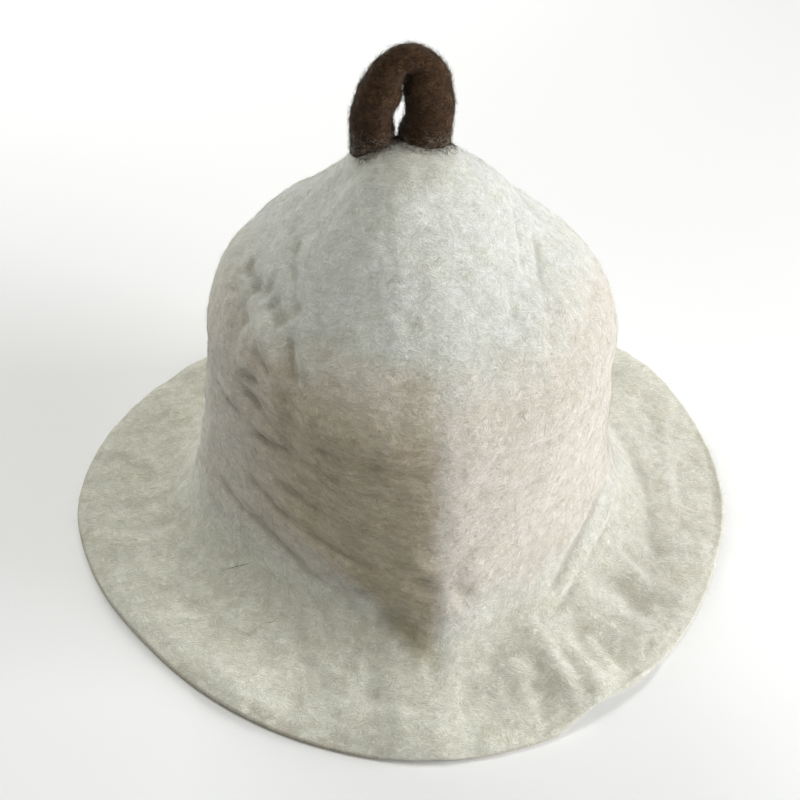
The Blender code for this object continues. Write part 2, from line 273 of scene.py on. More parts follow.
# How finely the meshes are divided
COLUMNS = 420
OUTER_ROWS = 160
INNER_ROWS = 72
LOOP_SIDES = 72
LOOP_STATIONS = 150
LEG_STEPS = 14
HAIR_STEPS = 3
HAIR_SIDES = 3
STRAY_STEPS = 12
STRAY_SIDES = 4
FIRST_BRIM_KNOT = len(CROWN_RINGS) + 1
LAST_KNOT = len(CROWN_RINGS) + len(BRIM_STEPS)

# Rounds of smoothing that give the level from which a hollow's depth is taken
HOLLOW_ROUNDS = 12

# Loose hairs: their number, length, thickness, how far they may stand off, and a seed
Fuzz = namedtuple("Fuzz", "name hairs length thickness lift seed")
BODY_FUZZ = (
    Fuzz("felt_hairs_short", 12000, 0.0036, 0.00010, 0.0010, 21),
    Fuzz("felt_hairs_long", 12000, 0.0075, 0.00008, 0.0008, 22),
    Fuzz("felt_hairs_fine", 12000, 0.0052, 0.00007, 0.0006, 25),
)
LOOP_FUZZ = Fuzz("loop_hairs", 9000, 0.0042, 0.00009, 0.0013, 23)
FOOT_FUZZ = (
    Fuzz("pale_hairs_on_left_foot", 1500, 0.0046, 0.00008, 0.0010, 24),
    Fuzz("pale_hairs_on_right_foot", 1500, 0.0046, 0.00008, 0.0010, 26),
)
SEAT_FUZZ = Fuzz("brown_hairs_round_feet", 6000, 0.0042, 0.00010, 0.0012, 27)

# How much a hair turns at each step, how unlike the lengths are, how rarely a hair stands
# off, how it arches, and how far it rests off the face and starts inside it
HAIR_CURL = 0.4
HAIR_STRETCH = (0.5, 1.4)
HAIR_LIFT_POWER = 4
HAIR_BEND = 2.4
HAIR_REST = 0.00008
HAIR_ROOT = 0.00006

# The pale hairs climb this many rings of each leg, fewer the higher up, and the brown
# hairs on the felt lie in its rows nearest the apex, close round the feet.
PALE_FOOT_RINGS = LEG_STEPS + 14
PALE_FOOT_POWER = 1.5
APEX_ROWS = 12
SEAT_INSIDE = 0.0010
SEAT_OUTSIDE = 0.0035
SEAT_POWER = 0.7

# Dark fibres caught in the felt: a line over the felt through three places.
StrayHair = namedtuple("StrayHair", "x y middle_x middle_y to_x to_y")
STRAY_HAIRS = (
    StrayHair(-0.0851, -0.0497, -0.0781, -0.0507, -0.0704, -0.0532),
    StrayHair(-0.0633, -0.0800, -0.0600, -0.0806, -0.0569, -0.0788),
    StrayHair(-0.0716, -0.0843, -0.0710, -0.0845, -0.0703, -0.0842),
    StrayHair(0.0636, -0.0523, 0.0639, -0.0525, 0.0642, -0.0527),
)
STRAY_THICKNESS = 0.00022
STRAY_TALLNESS = 1.4


def through(values, at):
    """Values of a smooth curve through the rows of an array, at places counted in rows."""
    values = np.asarray(values, float)
    ahead, behind = 2 * values[:1] - values[1:2], 2 * values[-1:] - values[-2:-1]
    padded = np.concatenate([ahead, values, behind])
    row = np.clip(np.floor(at).astype(int), 0, len(values) - 2)
    share = (np.asarray(at) - row).reshape((-1,) + (1,) * (values.ndim - 1))
    before, start, end, after = (padded[row + i] for i in range(4))
    slope_in, slope_out = (end - before) / 2, (after - start) / 2
    return (
        (2 * share**3 - 3 * share**2 + 1) * start
        + (share**3 - 2 * share**2 + share) * slope_in
        + (3 * share**2 - 2 * share**3) * end
        + (share**3 - share**2) * slope_out
    )


def turned(azimuth, centre):
    """Degrees from centre to azimuth, between -180 and 180."""
    return (azimuth - centre + 180) % 360 - 180


def edge_column(column, azimuths):
    """A column of the brim edge's table as a smooth closed curve, read at azimuths."""
    places = np.array([row.azimuth for row in BRIM_EDGE], float)
    values = np.array([getattr(row, column) for row in BRIM_EDGE])
    places = np.concatenate([places - 360, places, places + 360])
    at = np.interp(turned(azimuths, 0), places, np.arange(len(places)))
    return through(np.tile(values, 3), at)


def crease_share(azimuths):
    """1 on the front fold line, less on the back one, falling away to the sides."""
    total = np.zeros_like(azimuths)
    for centre, share in ((CREASE_AZIMUTH, 1.0), (CREASE_AZIMUTH + 180, BACK_CREASE_SHARE)):
        off = turned(azimuths, centre)
        rounded = np.sqrt(off**2 + CREASE_ROUNDING**2) - CREASE_ROUNDING
        total += share * np.exp(-rounded / CREASE_SPREAD)
    return total


def ring_reach(ring, azimuths):
    """A crown ring's reach from its middle at each azimuth."""
    ahead, side = np.cos(np.radians(azimuths)), np.sin(np.radians(azimuths))
    lengthwise = np.where(ahead > 0, ring.front, ring.back)
    sideways = np.where(side > 0, ring.right, ring.left)
    aside = np.clip(np.abs(turned(azimuths, PRESSED_AZIMUTH)) / PRESSED_SPREAD, 0, 1)
    pressed = ring.pressed * np.cos(aside * math.pi / 2) ** 2
    standing = ring.crease * crease_share(azimuths)
    return lengthwise * ahead**2 + sideways * side**2 + standing - pressed


def ring_points(azimuths, reach, setback, height):
    """Points at a reach along each azimuth from a middle set back from the axis."""
    angle = np.radians(azimuths)
    return np.column_stack(
        [reach * np.sin(angle), setback - reach * np.cos(angle), 0 * angle + height]
    )


def knot_curves(azimuths):
    """The outer face's guiding rings, from the apex down to the brim's edge."""
    curves = [ring_points(azimuths, 0, APEX_SETBACK, APEX_HEIGHT)]
    for ring in reversed(CROWN_RINGS):
        reach = ring_reach(ring, azimuths)
        curves.append(ring_points(azimuths, reach, ring.setback, ring.height))
    foot = curves[-1]
    edge_height = edge_column("height", azimuths)
    edge = ring_points(azimuths, edge_column("reach", azimuths), 0, edge_height)
    for step in BRIM_STEPS:
        curve = foot + (edge - foot) * step.out
        curve[:, 2] = edge_height + (foot[:, 2] - edge_height) * step.left_over
        curves.append(curve)
    return np.array(curves)


def smooth_face(rows, azimuths):
    """The outer face without its dents, as an array of points by row and azimuth."""
    curves = knot_curves(azimuths)
    # The curve is carried on over the apex, so that the top is round and not pointed.
    beyond = 2 * curves[0] - curves[1]
    beyond[:, 2] = curves[1][:, 2]
    return through(np.concatenate([beyond[None], curves]), rows + 1)


def unit(vectors):
    """Vectors brought to a length of 1."""
    return vectors / np.maximum(np.linalg.norm(vectors, axis=-1, keepdims=True), 1e-12)


def outward(points):
    """Unit normals of a face given as rows by columns, pointing out of the hat."""
    down = np.gradient(points, axis=0)
    along = (np.roll(points, -1, axis=1) - np.roll(points, 1, axis=1)) / 2
    return unit(np.cross(down, along))


def relief(points, rows, azimuths):
    """How far dents and folds push each point of the outer face outwards."""
    reach = np.hypot(points[..., 0], points[..., 1])
    height = points[..., 2]
    out = ((rows - FIRST_BRIM_KNOT + 1) / len(BRIM_STEPS))[:, None]
    total = np.zeros(reach.shape)
    for dent in DENTS:
        aside = np.radians(turned(azimuths, dent.azimuth)) * reach / dent.wide
        up = (height - dent.height) / dent.tall
        total -= dent.depth * np.exp(-(aside**2) - up**2)
    for fold in FOLDS:
        aside = np.radians(turned(azimuths, fold.azimuth)) * reach / fold.wide
        along = np.clip((out - fold.start) / (fold.end - fold.start), 0, 1)
        total += fold.rise * np.exp(-(aside**2)) * np.sin(math.pi * along)
    return total


def distance_down(points):
    """The distance along the felt from the apex to each point of a face."""
    steps = np.linalg.norm(np.diff(points, axis=0), axis=-1)
    apex = np.array([0, APEX_SETBACK, APEX_HEIGHT])
    first = np.linalg.norm(points[:1] - apex, axis=-1)
    return np.cumsum(np.concatenate([first, steps]), axis=0)


def crease_relief(points, down, azimuths):
    """How far the small creases and bumps push each point outwards."""
    reach = np.hypot(points[..., 0], points[..., 1])
    total = np.zeros(reach.shape)
    for crease in CREASES:
        middle = (crease.azimuth + crease.to_azimuth) / 2
        across = np.radians(turned(azimuths, middle)) * reach
        half = np.radians(crease.to_azimuth - crease.azimuth) / 2 * reach
        drop = crease.to_down - crease.down
        length = np.sqrt(4 * half**2 + drop**2)
        east, south = 2 * half / length, drop / length
        below = down - (crease.down + crease.to_down) / 2
        along = (across * east + below * south) / length * 2
        aside = below * east - across * south - crease.bow * (1 - along**2)
        past = np.maximum(np.abs(along) - 1, 0) * length / 2
        rise = crease.rise
        if length.max() > LONG_CREASE:
            rise = rise * np.clip((CREASE_END - np.abs(along)) / CREASE_FADE, 0, 1)
        total += rise * np.exp(-(aside**2 + past**2) / crease.width**2)
    return total


def foot_fillet(points):
    """How far the felt swells up round the loop's two feet."""
    total = np.zeros(points.shape[:-1])
    for foot in (LOOP_LINE[0], LOOP_LINE[-1]):
        reach = np.hypot(points[..., 0] - foot.across, points[..., 1] - foot.setback)
        past = np.maximum(reach - foot.thickness / 2, 0)
        total = np.maximum(total, FILLET_RISE * np.exp(-past / FILLET_SPREAD))
    return total


def lumpy(points, row):
    """Smooth random heights at points, in lumps of the row's size."""
    flat = points.reshape(-1, 3) / row.size + row.seed * SEED_SHIFT
    values = np.array([noise.noise(Vector(p)) for p in flat])
    return row.rise * (values.reshape(points.shape[:-1]) * LUMP_GAIN)


def fine_relief(points, down, azimuths):
    """The felt's uneven thickness: lumps, and faint ripples across the brim."""
    brim = np.clip((down - BRIM_START) / BRIM_FADE, 0, 1)
    angle = np.radians(azimuths) + 0 * down
    across, along = np.sin(angle) * RIPPLES_ROUND, np.cos(angle) * RIPPLES_ROUND
    ripples = lumpy(np.stack([across, along, down * RIPPLES_DOWN], axis=-1), BRIM_RIPPLES)
    return sum(lumpy(points, row) for row in FELT_LUMPS) + brim * ripples


def felt_faces():
    """Outer and inner face of the felt, each as rows by columns from apex to edge."""
    azimuths = CREASE_AZIMUTH + np.arange(COLUMNS) * 360 / COLUMNS
    faces = []
    for count, fine in ((OUTER_ROWS, True), (INNER_ROWS, False)):
        rows = np.linspace(0, LAST_KNOT, count + 1)[1:]
        points = smooth_face(rows, azimuths)
        normals = outward(points)
        push = relief(points, rows, azimuths)
        down = distance_down(points)
        creases = crease_relief(points, down, azimuths)
        if fine:
            push += creases + fine_relief(points, down, azimuths) + foot_fillet(points)
        else:
            push += np.minimum(creases + DEEPEST_CREASE, 0)
        faces.append(points + normals * push[..., None])
    outer, inner = faces
    inner = inner - outward(inner) * FELT_WALL
    inner[..., 2] = np.where(inner[..., 2] < PRESSED_FLAT, 0, inner[..., 2])
    return outer, inner


def hollow_values(outer):
    """How deep each point of the outer face lies among those round it, in metres."""
    level = outer
    for _ in range(HOLLOW_ROUNDS):
        aside = (np.roll(level, 1, axis=1) + np.roll(level, -1, axis=1)) / 2
        over = np.concatenate([level[:1], level[:-1]])
        under = np.concatenate([level[1:], level[-1:]])
        level = (aside + (over + under) / 2) / 2
    return ((level - outer) * outward(outer)).sum(axis=-1)


def closed_wall(outer, inner):
    """Vertices and faces of the outer face, rounded rim and inner face in one wall."""
    rim = (outer[-1] + inner[-1]) / 2
    level = rim[:, :2] / np.linalg.norm(rim[:, :2], axis=1, keepdims=True)
    rim[:, :2] += level * FELT_WALL * RIM_BULGE
    rings = [*outer, rim, *inner[::-1]]
    columns = len(rim)
    apex = (0, APEX_SETBACK, APEX_HEIGHT)
    inner_apex = (0, APEX_SETBACK, APEX_HEIGHT - FELT_WALL)
    vertices = [apex, *np.concatenate(rings), inner_apex]
    end = 1 + (len(rings) - 1) * columns
    faces = []
    for column in range(columns):
        beside = (column + 1) % columns
        faces.append((0, 1 + column, 1 + beside))
        for top in range(1, end, columns):
            bottom = top + columns
            faces.append((top + column, bottom + column, bottom + beside, top + beside))
        faces.append((end + column, len(vertices) - 1, end + beside))
    return vertices, faces


def rope_rings(stations, sides):
    """Rings of the loop's rope, from one foot over the top to the other."""
    line = np.array([(p.across, p.setback, p.height, p.thickness / 2) for p in LOOP_LINE])
    line = through(line, np.linspace(0, len(line) - 1, stations))
    path, radius = line[:, :3], line[:, 3]
    forward = np.gradient(path, axis=0)
    forward /= np.linalg.norm(forward, axis=1, keepdims=True)
    depth = np.array([0.0, 1.0, 0.0])
    sideways = np.cross(depth, forward)
    angle = np.arange(sides) * 2 * math.pi / sides
    ring = np.cos(angle)[:, None] * depth + np.sin(angle)[:, None] * sideways[:, None]
    return path[:, None] + radius[:, None, None] * ring


def landed(point, ground):
    """The point straight below on the felt, a seat's gap above it."""
    above = Vector((point[0], point[1], APEX_HEIGHT + ABOVE_HAT))
    hit = ground.ray_cast(above, Vector((0, 0, -1)))[0]
    return (hit.x, hit.y, hit.z + SEAT_GAP)


def foot_rings(ring, ground):
    """The rings of a foot on the felt, from its middle point out to its outline."""
    middle = ring.mean(axis=0)
    spokes = (ring - middle) * (FOOT_FLARE, FOOT_FLARE, 1)
    rings = [[landed(p, ground) for p in middle + spokes * share] for share in FOOT_SHARES]
    return landed(middle, ground), rings


def leg_rings(low, high):
    """Rings of a leg between its foot's outline and the first ring of the rope."""
    low, high = np.array(low), np.array(high)
    return [low + (high - low) * share for share in np.linspace(0, 1, LEG_STEPS + 1)[1:-1]]


def swollen(rings):
    """The rope's rings, uneven like hand-rolled felt, its legs swollen under the arch."""
    aside = unit(rings - rings.mean(axis=1, keepdims=True))
    swell = sum(lumpy(rings, row) for row in ROPE_LUMPS)
    middle = rings.mean(axis=1, keepdims=True)
    inward = np.where(middle[..., 0] < SLIT_ACROSS, aside[..., 0], -aside[..., 0])
    near = np.exp(-(((rings[..., 2] - PINCH_HEIGHT) / PINCH_TALL) ** 2))
    swell += PINCH * near * np.clip(inward, 0, 1)
    return rings + aside * swell[..., None]


def loop_shape(rings, ground):
    """Vertices and faces of the loop, its feet following the face of the felt."""
    sides = len(rings[0])
    start_point, start = foot_rings(rings[0], ground)
    end_point, end = foot_rings(rings[-1], ground)
    rings = [*start, *rings, *end[::-1]]
    vertices = [start_point, *np.concatenate(rings), end_point]
    last = 1 + (len(rings) - 1) * sides
    faces = []
    for side in range(sides):
        beside = (side + 1) % sides
        faces.append((0, 1 + side, 1 + beside))
        for low in range(1, last, sides):
            high = low + sides
            faces.append((low + side, high + side, high + beside, low + beside))
        faces.append((last + side, len(vertices) - 1, last + beside))
    return vertices, faces


# Loose hairs


def scattered(face, normals, count, chance):
    """Random places on a face of rows by columns, evenly by area, and the normals there."""
    beside = np.roll(face, -1, axis=1)
    area = np.linalg.norm(np.cross(beside[:-1] - face[:-1], np.diff(face, axis=0)), axis=-1)
    cells = chance.choice(area.size, count, p=area.ravel() / area.sum())
    row, column = np.divmod(cells, face.shape[1])
    after = (column + 1) % face.shape[1]
    low, aside = chance.random((2, count, 1))
    found = []
    for values in (face, normals):
        upper = values[row, column] * (1 - aside) + values[row, after] * aside
        lower = values[row + 1, column] * (1 - aside) + values[row + 1, after] * aside
        found.append(upper * (1 - low) + lower * low)
    return found[0], unit(found[1])


def hair_stations(roots, normals, row, chance):
    """Corners of thin pointed hairs that start in a face and curl along it."""
    count = len(roots)
    ahead = unit(np.cross(normals, chance.normal(size=(count, 3))))
    curl = chance.normal(0, HAIR_CURL, (count, 1))
    step = row.length / HAIR_STEPS * chance.uniform(*HAIR_STRETCH, (count, 1))
    rise = row.lift * chance.random((count, 1)) ** HAIR_LIFT_POWER
    corners = []
    place = roots
    for station in range(HAIR_STEPS + 1):
        share = station / HAIR_STEPS
        height = (HAIR_REST + rise) * math.sin(share * HAIR_BEND) - HAIR_ROOT * (station == 0)
        width = row.thickness / 2 * (1 - share**2)
        aside = np.cross(normals, ahead)
        for corner in range(HAIR_SIDES if station < HAIR_STEPS else 1):
            angle = corner * math.tau / HAIR_SIDES
            level = aside * (width * math.cos(angle))
            corners.append(place + level + normals * (height + width * math.sin(angle)))
        ahead = ahead * np.cos(curl) + aside * np.sin(curl)
        place = place + ahead * step
    return np.stack(corners, axis=1)


def hair_faces(count, each):
    """Faces of a number of hairs that have the same number of corners each."""
    sides = HAIR_SIDES
    tip = each - 1
    pattern = [tuple(range(sides))[::-1]]
    for low in range(0, tip - sides, sides):
        for side in range(sides):
            beside = (side + 1) % sides
            pattern.append((low + side, low + beside, low + sides + beside, low + sides + side))
    for side in range(sides):
        pattern.append((tip - sides + side, tip - sides + (side + 1) % sides, tip))
    firsts = range(0, count * each, each)
    return [tuple(first + corner for corner in face) for first in firsts for face in pattern]


def hair_shape(roots, normals, row, chance):
    """Vertices and faces of thin hairs with their roots in a face."""
    corners = hair_stations(roots, normals, row, chance)
    return corners.reshape(-1, 3), hair_faces(*corners.shape[:2])


def anywhere(points, chance):
    """Every one of the points."""
    return np.ones(len(points), bool)


def low_down(points, chance):
    """Fewer and fewer of the points the higher they are."""
    height = points[:, 2]
    share = (height.max() - height) / np.ptp(height)
    return chance.random(len(points)) < share**PALE_FOOT_POWER


def round_the_feet(points, chance):
    """The points close outside the outlines of the loop's feet."""
    feet = (LOOP_LINE[0], LOOP_LINE[-1])
    gaps = [
        np.hypot(points[:, 0] - foot.across, points[:, 1] - foot.setback) - foot.thickness / 2
        for foot in feet
    ]
    gap = np.minimum(*gaps)
    limit = SEAT_OUTSIDE * chance.random(len(points)) ** SEAT_POWER
    return (gap > -SEAT_INSIDE) & (gap < limit)


def fuzz_piece(row, face, normals, material, cad_node, chosen=anywhere):
    """A piece of loose hairs on a face."""
    chance = np.random.default_rng(row.seed)
    roots, out = scattered(face, normals, row.hairs, chance)
    kept = chosen(roots, chance)
    shape = hair_shape(roots[kept], out[kept], row, chance)
    return mesh_piece(row.name, shape, material, cad_node)


def stray_shape(ground):
    """Vertices and faces of the dark fibres, which lie on the felt."""
    vertices, faces = [], []
    for hair in STRAY_HAIRS:
        line = np.reshape(hair, (3, 2))
        places = through(line, np.linspace(0, len(line) - 1, STRAY_STEPS))
        for station, place in enumerate(places):
            middle = Vector(landed(place, ground))
            width = STRAY_THICKNESS / 2 * math.sin(math.pi * (station + 0.5) / STRAY_STEPS)
            for corner in range(STRAY_SIDES):
                angle = corner * math.tau / STRAY_SIDES
                level, up = math.cos(angle), STRAY_TALLNESS * math.sin(angle)
                offset = Vector((level, level, up))
                vertices.append(middle + offset * width - Vector((0, 0, SEAT_GAP)))
        first = len(vertices) - STRAY_SIDES * STRAY_STEPS
        faces += tube_faces(first, STRAY_STEPS, STRAY_SIDES)
    return vertices, faces


def tube_faces(first, rings, sides):
    """Faces of a closed tube whose rings of vertices start at first."""
    last = first + (rings - 1) * sides
    faces = [tuple(range(first, first + sides))[::-1], tuple(range(last, last + sides))]
    for low in range(first, last, sides):
        for side in range(sides):
            beside = (side + 1) % sides
            faces.append((low + side, low + beside, low + sides + beside, low + sides + side))
    return faces


# Materials

WOOL_PALE = (0.915, 0.92, 0.885, 1)
WOOL_SHADED = (0.69, 0.695, 0.645, 1)
WALL_TINT = (0.985, 0.925, 0.885, 1)
# The brim's own yellower tone, made brighter as painted light from above
BRIM_TONE_AND_PAINTED_LIGHT = (1.04, 1.025, 0.975, 1)
# Painted shade: the right of the brim darker and yellower
BRIM_RIGHT_PAINTED_SHADE = (1.0, 0.98, 0.93, 1)
PATCH_TINT = (0.97, 0.96, 0.93, 1)
# Painted shade on the left front of the crown's wall, browner than the wool
SHADE_TINT = (0.855, 0.81, 0.70, 1)
STREAK_TINT = (0.86, 0.84, 0.80, 1)
# Painted shade in the felt's hollows
HOLLOW_PAINTED_SHADE = (0.82, 0.81, 0.785, 1)
FOOT_TINT = (0.84, 0.82, 0.78, 1)
# Painted shade on the rim's lower edge, which turns away from the light
RIM_PAINTED_SHADE = (0.80, 0.74, 0.68, 1)
BROWN_PALE = (0.170, 0.092, 0.042, 1)
BROWN_SHADED = (0.042, 0.018, 0.005, 1)
BROWN_WORN = (0.20, 0.155, 0.12, 1)

# How high the matted fibres stand where a colour starts and where it is full
WHITE_FIBRES = (0.28, 0.66)
BROWN_FIBRES = (0.30, 0.72)
WORN_FIBRES = (0.35, 0.60)

# Where a tint, a painted shade or a painted light starts and where it is full, in metres
WALL_FOOT = (0.026, 0.042)
WALL_TOP = (0.158, 0.140)
PANEL_LEFT = (-0.078, -0.046)
PANEL_FOLD = (0.0190, 0.0100)
PANEL_FRONT = (-0.030, -0.042)
PANEL_SLANT = (0.044, 0.056)
PANEL_FOOT = (0.014, 0.024)
PANEL_TOP = (0.162, 0.124)
SLANT_START = -0.030
BRIM_TOP = (0.036, 0.022)
BRIM_RIGHT = (0.095, 0.125)
APEX_FOOT = (0.199, 0.207)
RIM_TOP = (0.0034, 0.0014)
RIM_RIGHT = (0.050, 0.090)
HOLLOW_DEPTH = (0.0001, 0.0008)
WORN_TOP = (0.203, 0.216)

# Sizes of the patches and fibres, in metres
PATCH_SIZE = 0.028
PATCH_REACH = 0.030
FOLD_WANDER_SIZE = 0.006
FOLD_WANDER = 0.006
STREAK_SIZE = 0.0028
MOTTLE_SIZE = 0.011
CLUMP_SIZE = 0.0040
STRAND_SIZE = 0.0013
CURL_SIZE = 0.007
CURL_REACH = 0.009
BUMP_HEIGHT = 0.0012
FIBRE_TURNS = ((0.3, 0.2, 0.5), (1.9, 0.7, 2.4), (0.9, 2.2, 1.3))


def node(tree, kind, inputs=(), **settings):
    """A shader node with settings, and inputs given as values or as sockets to link."""
    made = tree.nodes.new(kind)
    for name, value in settings.items():
        setattr(made, name, value)
    for name, value in inputs:
        if isinstance(value, bpy.types.NodeSocket):
            tree.links.new(value, made.inputs[name])
        else:
            made.inputs[name].default_value = value
    return made


def reckon(tree, operation, *values):
    """The result of a maths operation on values or sockets."""
    return node(tree, "ShaderNodeMath", list(enumerate(values)), operation=operation).outputs[0]


def spread(tree, field, low, high, least=0.0, most=1.0):
    """A field spread so that low becomes least and high becomes most, and no further."""
    inputs = list(enumerate((field, low, high, least, most)))
    return node(tree, "ShaderNodeMapRange", inputs).outputs[0]


def blended(tree, share, first, second, blend="MIX"):
    """A mix of two colours, each a value or a socket."""
    inputs = [(0, share), (6, first), (7, second)]
    return node(tree, "ShaderNodeMix", inputs, data_type="RGBA", blend_type=blend).outputs[2]


def cloud(tree, place, size, detail=3.0, warp=0.0):
    """Soft noise of about 0 to 1 whose lumps are about size metres."""
    inputs = [
        ("Vector", place),
        ("Scale", 1 / size),
        ("Detail", detail),
        ("Roughness", 0.6),
        ("Distortion", warp),
    ]
    return node(tree, "ShaderNodeTexNoise", inputs).outputs[0]


def strands(tree, place, size, turn):
    """Thin lines like matted wool fibres, which run mostly one way."""
    inputs = [("Vector", place), ("Rotation", turn), ("Scale", (0.22, 1.0, 1.0))]
    stretched = node(tree, "ShaderNodeMapping", inputs).outputs[0]
    off_middle = reckon(tree, "SUBTRACT", cloud(tree, stretched, size, 1.0), 0.5)
    return spread(tree, reckon(tree, "ABSOLUTE", off_middle), 0.0, 0.07, 1.0, 0.0)


def curled(tree, place, size, reach):
    """Places shifted to and fro, so that what is drawn with them curls."""
    inputs = [("Vector", place), ("Scale", 1 / size), ("Detail", 1.0)]
    wander = node(tree, "ShaderNodeTexNoise", inputs).outputs[1]
    inputs = [(0, wander), (1, (reach, reach, reach)), (2, place)]
    return node(tree, "ShaderNodeVectorMath", inputs, operation="MULTIPLY_ADD").outputs[0]


def fibre_height(tree, place):
    """The height of matted fibres, about 0 to 1: crossing lines over soft lumps."""
    bent = curled(tree, place, CURL_SIZE, CURL_REACH)
    total = reckon(tree, "MULTIPLY", cloud(tree, place, CLUMP_SIZE, 3.0, 0.6), 0.55)
    for turn in FIBRE_TURNS:
        lines = strands(tree, bent, STRAND_SIZE, turn)
        total = reckon(tree, "MULTIPLY_ADD", lines, 0.15, total)
    return total


def felt(name, paint, sheen, bump_strength):
    """A wool felt material; paint gives its colour socket from its places and fibres."""
    material = bpy.data.materials.new(name)
    material.use_nodes = True
    tree = material.node_tree
    surface = tree.nodes["Principled BSDF"]
    place = node(tree, "ShaderNodeTexCoord").outputs["Object"]
    fibres = fibre_height(tree, place)
    tree.links.new(paint(tree, place, fibres), surface.inputs["Base Color"])
    tree.links.new(spread(tree, fibres, 0.2, 0.7, 1.0, 0.85), surface.inputs["Roughness"])
    surface.inputs["Diffuse Roughness"].default_value = 0.8
    surface.inputs["Specular IOR Level"].default_value = 0.2
    surface.inputs["Sheen Weight"].default_value = sheen
    surface.inputs["Sheen Roughness"].default_value = 0.5
    inputs = [("Height", fibres), ("Strength", bump_strength), ("Distance", BUMP_HEIGHT)]
    bump = node(tree, "ShaderNodeBump", inputs).outputs["Normal"]
    tree.links.new(bump, surface.inputs["Normal"])
    return material


def tinted(tree, share, colour, tint):
    """A colour multiplied by a tint, as far as share says."""
    return blended(tree, share, colour, tint, "MULTIPLY")


def product(tree, first, *others):
    """Fields multiplied together."""
    for other in others:
        first = reckon(tree, "MULTIPLY", first, other)
    return first


def shaded_panel(tree, across, behind, height):
    """1 on the left front of the crown's wall, up to the fold line, where shade is painted as a
    browner tint.
    """
    past_start = reckon(tree, "SUBTRACT", across, SLANT_START)
    slant = reckon(tree, "ADD", height, reckon(tree, "MAXIMUM", past_start, 0.0))
    return product(
        tree,
        spread(tree, across, *PANEL_LEFT),
        spread(tree, across, *PANEL_FOLD),
        spread(tree, behind, *PANEL_FRONT),
        spread(tree, slant, *PANEL_SLANT),
        spread(tree, height, *PANEL_FOOT),
        spread(tree, height, *PANEL_TOP),
    )


def patchy_height(tree, place, height):
    """The height shifted up and down in patches, so that a tint's border is uneven."""
    patches = cloud(tree, place, PATCH_SIZE, 2.0)
    lowered = reckon(tree, "SUBTRACT", height, PATCH_REACH / 2)
    return reckon(tree, "MULTIPLY_ADD", patches, PATCH_REACH, lowered)


def wandering_across(tree, place, across):
    """The place from left to right, shifted a little so that the panel's edge is uneven."""
    wander = cloud(tree, place, FOLD_WANDER_SIZE, 2.0)
    shifted = reckon(tree, "MULTIPLY_ADD", wander, FOLD_WANDER, across)
    return reckon(tree, "SUBTRACT", shifted, FOLD_WANDER / 2)


def level_streaks(tree, place, shade):
    """Soft level streaks, faint all over and strong on the shaded panel."""
    inputs = [("Vector", place), ("Scale", (0.3, 0.3, 1.0))]
    level = node(tree, "ShaderNodeMapping", inputs).outputs[0]
    streaks = spread(tree, cloud(tree, level, STREAK_SIZE, 2.0, 0.8), 0.40, 0.60)
    return reckon(tree, "MULTIPLY", streaks, spread(tree, shade, 0.0, 1.0, 0.25, 1.0))


def white_paint(tree, place, fibres):
    """Ivory wool, pinker on the crown's wall and yellower on the brim, with painted light on
    the brim and painted shade on the wall's left front, the brim's right, the rim's lower edge
    and in hollows.
    """
    axes = node(tree, "ShaderNodeSeparateXYZ", [(0, place)]).outputs
    height = patchy_height(tree, place, axes["Z"])
    across = wandering_across(tree, place, axes["X"])
    colour = blended(tree, spread(tree, fibres, *WHITE_FIBRES), WOOL_SHADED, WOOL_PALE)
    wall = product(tree, spread(tree, height, *WALL_FOOT), spread(tree, height, *WALL_TOP))
    colour = tinted(tree, wall, colour, WALL_TINT)
    shade = shaded_panel(tree, across, axes["Y"], height)
    # painted shade on the left front of the wall
    colour = tinted(tree, shade, colour, SHADE_TINT)
    colour = tinted(tree, level_streaks(tree, place, shade), colour, STREAK_TINT)
    # The brim's tone with its painted light, turning to painted shade towards the right
    right = blended(tree, spread(tree, axes["X"], *BRIM_RIGHT), BRIM_TONE_AND_PAINTED_LIGHT, BRIM_RIGHT_PAINTED_SHADE)
    colour = tinted(tree, spread(tree, height, *BRIM_TOP), colour, right)
    mottle = spread(tree, cloud(tree, place, MOTTLE_SIZE, 2.0), 0.45, 0.70)
    colour = tinted(tree, mottle, colour, PATCH_TINT)
    colour = tinted(tree, spread(tree, axes["Z"], *APEX_FOOT), colour, FOOT_TINT)
    # Painted shade along the lowest part of the rim, fading towards the right
    rim = product(
        tree,
        spread(tree, axes["Z"], *RIM_TOP),
        spread(tree, axes["X"], *RIM_RIGHT, 1.0, 0.2),
    )
    colour = tinted(tree, rim, colour, RIM_PAINTED_SHADE)
    # Painted shade in hollows, darker the deeper they lie
    hollow = node(tree, "ShaderNodeAttribute", attribute_name="hollow").outputs["Fac"]
    return tinted(tree, spread(tree, hollow, *HOLLOW_DEPTH), colour, HOLLOW_PAINTED_SHADE)


def brown_paint(tree, place, fibres):
    """Dark brown wool, with pale wool worked into it at the loop's feet."""
    height = node(tree, "ShaderNodeSeparateXYZ", [(0, place)]).outputs["Z"]
    colour = blended(tree, spread(tree, fibres, *BROWN_FIBRES), BROWN_SHADED, BROWN_PALE)
    foot = spread(tree, height, *WORN_TOP, 0.75, 0.0)
    flecks = reckon(tree, "MULTIPLY", foot, spread(tree, fibres, *WORN_FIBRES))
    return blended(tree, flecks, colour, BROWN_WORN)


def mesh_piece(name, shape, material, cad_node):
    """A piece of the object that stands for a node of the solid part."""
    vertices, faces = shape
    mesh = bpy.data.meshes.new(name)
    mesh.from_pydata([tuple(map(float, v)) for v in vertices], [], faces)
    mesh.shade_smooth()
    mesh.materials.append(material)
    piece = bpy.data.objects.new(name, mesh)
    bpy.context.collection.objects.link(piece)
    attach(piece, "root")
    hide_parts(cad_node)
    return piece


# The object

# The hat is moved by this, so that the origin is below the middle of the solid part's box.
SOLID_SHIFT = (0.0, -0.0006, 0.0)

